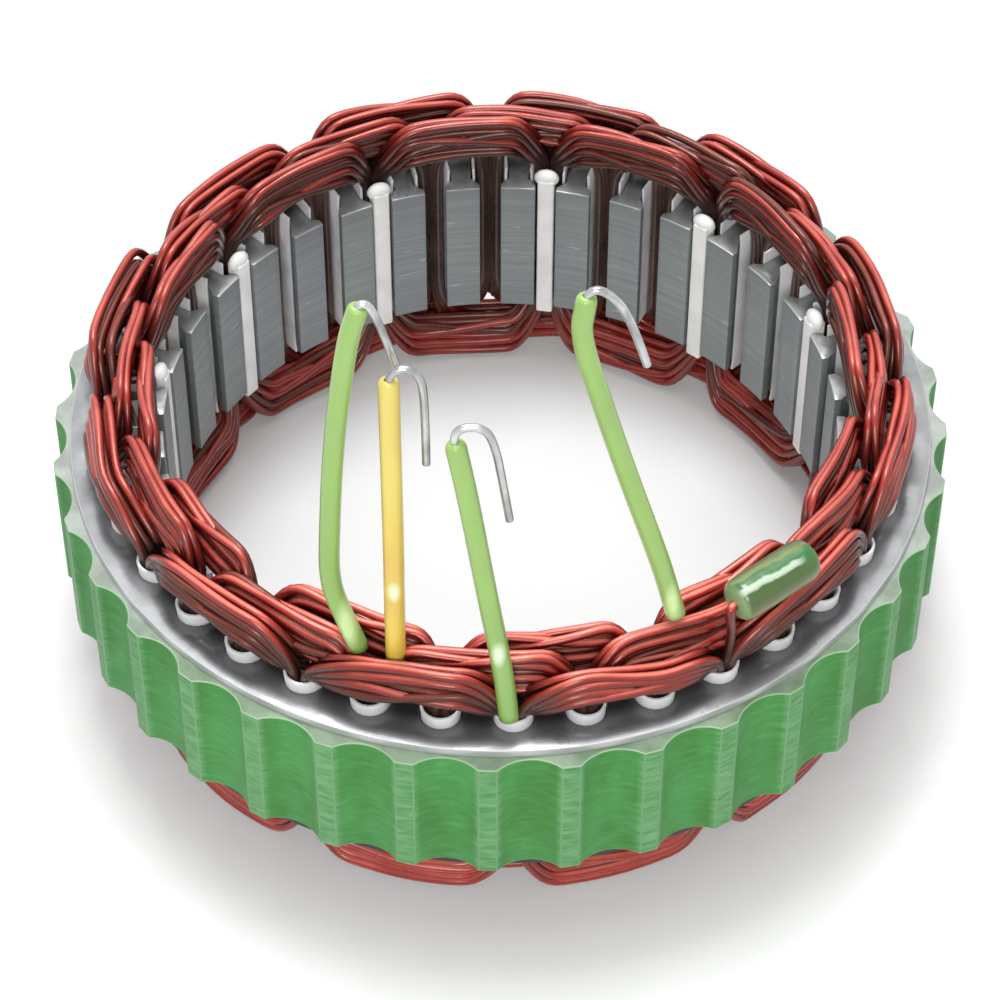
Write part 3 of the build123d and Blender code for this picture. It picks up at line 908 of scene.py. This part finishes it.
# Each lead's spot is a painted highlight on its sleeve
leads = {
    "A": {
        "node": "lead_a", "slot": "green_sleeve",
        "sleeve": [(-0.7, -58.7, 2.6), (-1.2, -58.1, 9), (-2.2, -57.4, 16.5), (-3.5, -56.6, 25),
                   (-5.8, -54.4, 41), (-7.1, -52.9, 48)],
        "hook": [(-7.6, -52.5, 50.6), (-6.6, -52.4, 52.2), (-3.6, -52.4, 52), (-2.3, -52.5, 48.5),
                 (-1.4, -52.5, 42), (-0.5, -52.5, 35)],
        "stops": [(0.0, (142, 184, 92)), (0.3, (145, 189, 96)), (0.5, (153, 195, 102)),
                  (1.0, (158, 199, 106))],
        "spot": {"at": (-2.1, -59.0, 15.6), "wide": 0.85, "tall": 1.9, "color": (226, 246, 208)},
    },
    "B": {
        "node": "lead_b", "slot": "green_sleeve",
        "sleeve": [(-20.5, -50.6, 8.2), (-22.4, -49.7, 13.6), (-24.2, -48.9, 20), (-23.7, -47.9, 30),
                   (-23.0, -46.9, 41), (-21.8, -46, 51.5), (-20.4, -45.3, 61), (-19.4, -45, 64.5)],
        "hook": [(-18.9, -45, 66.8), (-17.6, -45, 66.4), (-16, -44.7, 61.5), (-14.5, -44.5, 55)],
        "stops": [(0.0, (145, 190, 98)), (0.26, (145, 188, 92)), (0.5, (153, 195, 102)),
                  (1.0, (158, 199, 106))],
        "spot": {"at": (-21.9, -50.8, 13.3), "wide": 1.3, "tall": 4.0, "color": (206, 236, 164)},
    },
    "C": {
        "node": "lead_c", "slot": "green_sleeve",
        "sleeve": [(21.9, -49.1, 11.9), (21, -48.9, 16), (19.2, -48.4, 23), (15, -47, 36.5), (11.2, -46, 50),
                   (8.4, -45, 60.5), (9.0, -44.6, 65)],
        "hook": [(9.3, -44.5, 67.4), (11.2, -44.5, 67.9), (14.6, -44.5, 63.5), (17, -44.5, 54.5)],
        "stops": [(0.0, (160, 198, 114)), (0.2, (154, 194, 101)), (0.5, (153, 195, 101)),
                  (1.0, (158, 199, 106))],
        "spot": {"at": (21.2, -50.3, 15.2), "wide": 0.9, "tall": 3.2, "color": (208, 238, 160)},
    },
    "Neutral": {
        "node": "lead_neutral", "slot": "yellow_sleeve",
        "sleeve": [(-15.6, -52.6, 8.0), (-15.6, -51.6, 18), (-15.5, -50.5, 27), (-15.5, -49, 37),
                   (-15.5, -47, 53.5)],
        "hook": [(-15.3, -47, 56.6), (-13.4, -47, 57.4), (-11.5, -47, 56), (-11, -47, 51), (-11, -47, 40)],
        "stops": [(0.0, (240, 212, 88)), (0.17, (240, 210, 86)), (0.22, (234, 196, 88)),
                  (0.25, (234, 196, 90)), (0.28, (240, 210, 90)), (0.31, (236, 204, 90)),
                  (0.36, (234, 196, 90)), (0.42, (236, 202, 92)), (0.5, (238, 208, 90)),
                  (0.65, (243, 220, 112)), (1.0, (243, 220, 114))],
        "spot": {"at": (-15.6, -53.2, 21.4), "wide": 0.75, "tall": 1.5, "color": (240, 248, 208)},
    },
}
joint = {
    "angle": 307.6, "circle": 57.5, "height": 14.3, "length": 14.0, "radius": 3.15, "wall": 0.4, "sides": 6,
    # from end to end in shares of half the length, with shares of the radius
    "profile": {-1: 0.14, -0.99: 0.56, -0.9: 0.97, -0.5: 1, 0: 1, 0.6: 1, 0.8: 0.98, 0.94: 0.8, 1: 0.35},
    "streakSlant": 0.05, "streakEnd": (0.82, 0.7), "paleEnd": (0.06, 0.02),
    "barrel": 1.9, "barrelLength": 9.0,
    "tailStart": 0.95, "tailOut": 1.4, "tailAside": 0.56,
    "tailBend": (300.6, 58.4, 8), "tailEnd": (300, 57.4, 1.6),
}


def leadPoint(x, y, height):
    return Vector((x, y, core["top"] + height)) * mm


def tubeMesh(name, points, radius, sides=lead["sides"], sizes=None, caps=False):
    line = newLine(name, radius, sides, lead["steps"])
    line.use_fill_caps = caps
    addRun(line, points, 3, sizes)
    return meshOf(line)


def addWall(piece, wall):
    thick = piece.modifiers.new("wall", "SOLIDIFY")
    thick.thickness = wall * mm
    thick.offset = -1


def makeLead(name, setting):
    points = [leadPoint(*point) for point in setting["sleeve"]]
    hook = [leadPoint(*point) for point in setting["hook"]]
    finish = makeSleeveFinish(f"sleeve{name}", setting, points[0].z, points[-1].z)
    ahead = (points[-1] - points[-2]).normalized() * mm
    route = points + [points[-1] + ahead * reach for reach, size in lead["tip"]]
    sizes = [1] * len(points) + [size for reach, size in lead["tip"]]
    mesh = tubeMesh(f"leadSleeve{name}", route, lead["sleeve"], sizes=sizes)
    sleeve = addPiece(mesh.name, mesh, [finish], setting["slot"], setting["node"] + "_sleeve")
    addWall(sleeve, lead["wall"])
    foot = points[0] + (points[0] - points[1]).normalized() * lead["foot"] * mm
    mesh = tubeMesh(f"leadWire{name}", [foot, *points, *hook], lead["wire"], caps=True)
    addPiece(mesh.name, mesh, [tinned], "tinned_wire", setting["node"] + "_wire")


def makeJoint():
    outside = onRing(joint["angle"], 1, 0) / mm
    along = Vector((-outside.y, outside.x, 0))
    middle = onRing(joint["angle"], joint["circle"], core["top"] + joint["height"])
    reach = joint["length"] / 2 * mm
    points = [middle + along * reach * share for share in joint["profile"]]
    sizes = list(joint["profile"].values())
    mesh = tubeMesh("jointSleeve", points, joint["radius"], joint["sides"], sizes)
    tube = addPiece("jointSleeve", mesh, [makeTubeFinish(middle, along)], "joint_tube", "joint_sleeve")
    addWall(tube, joint["wall"])
    barrel = along * joint["barrelLength"] / 2 * mm
    turning = middle - along * (reach + joint["tailOut"] * mm) + outside * joint["tailAside"] * mm
    tail = [middle, middle - along * reach * joint["tailStart"], turning]
    tail += [onRing(angle, radius, core["top"] + height)
             for angle, radius, height in (joint["tailBend"], joint["tailEnd"])]
    bm = bmesh.new()
    splice = [middle - barrel, middle, middle + barrel]
    for run, radius in ((splice, joint["barrel"]), (tail, winding["wire"])):
        part = tubeMesh("part", run, radius, caps=True)
        bm.from_mesh(part)
        bpy.data.meshes.remove(part)
    mesh = meshFrom(bm, "jointSplice")
    mesh.shade_smooth()
    addPiece("jointSplice", mesh, [enamel], "enamelled_wire", "joint_splice")


for name, setting in leads.items():
    makeLead(name, setting)
makeJoint()
print("leads and joint made")
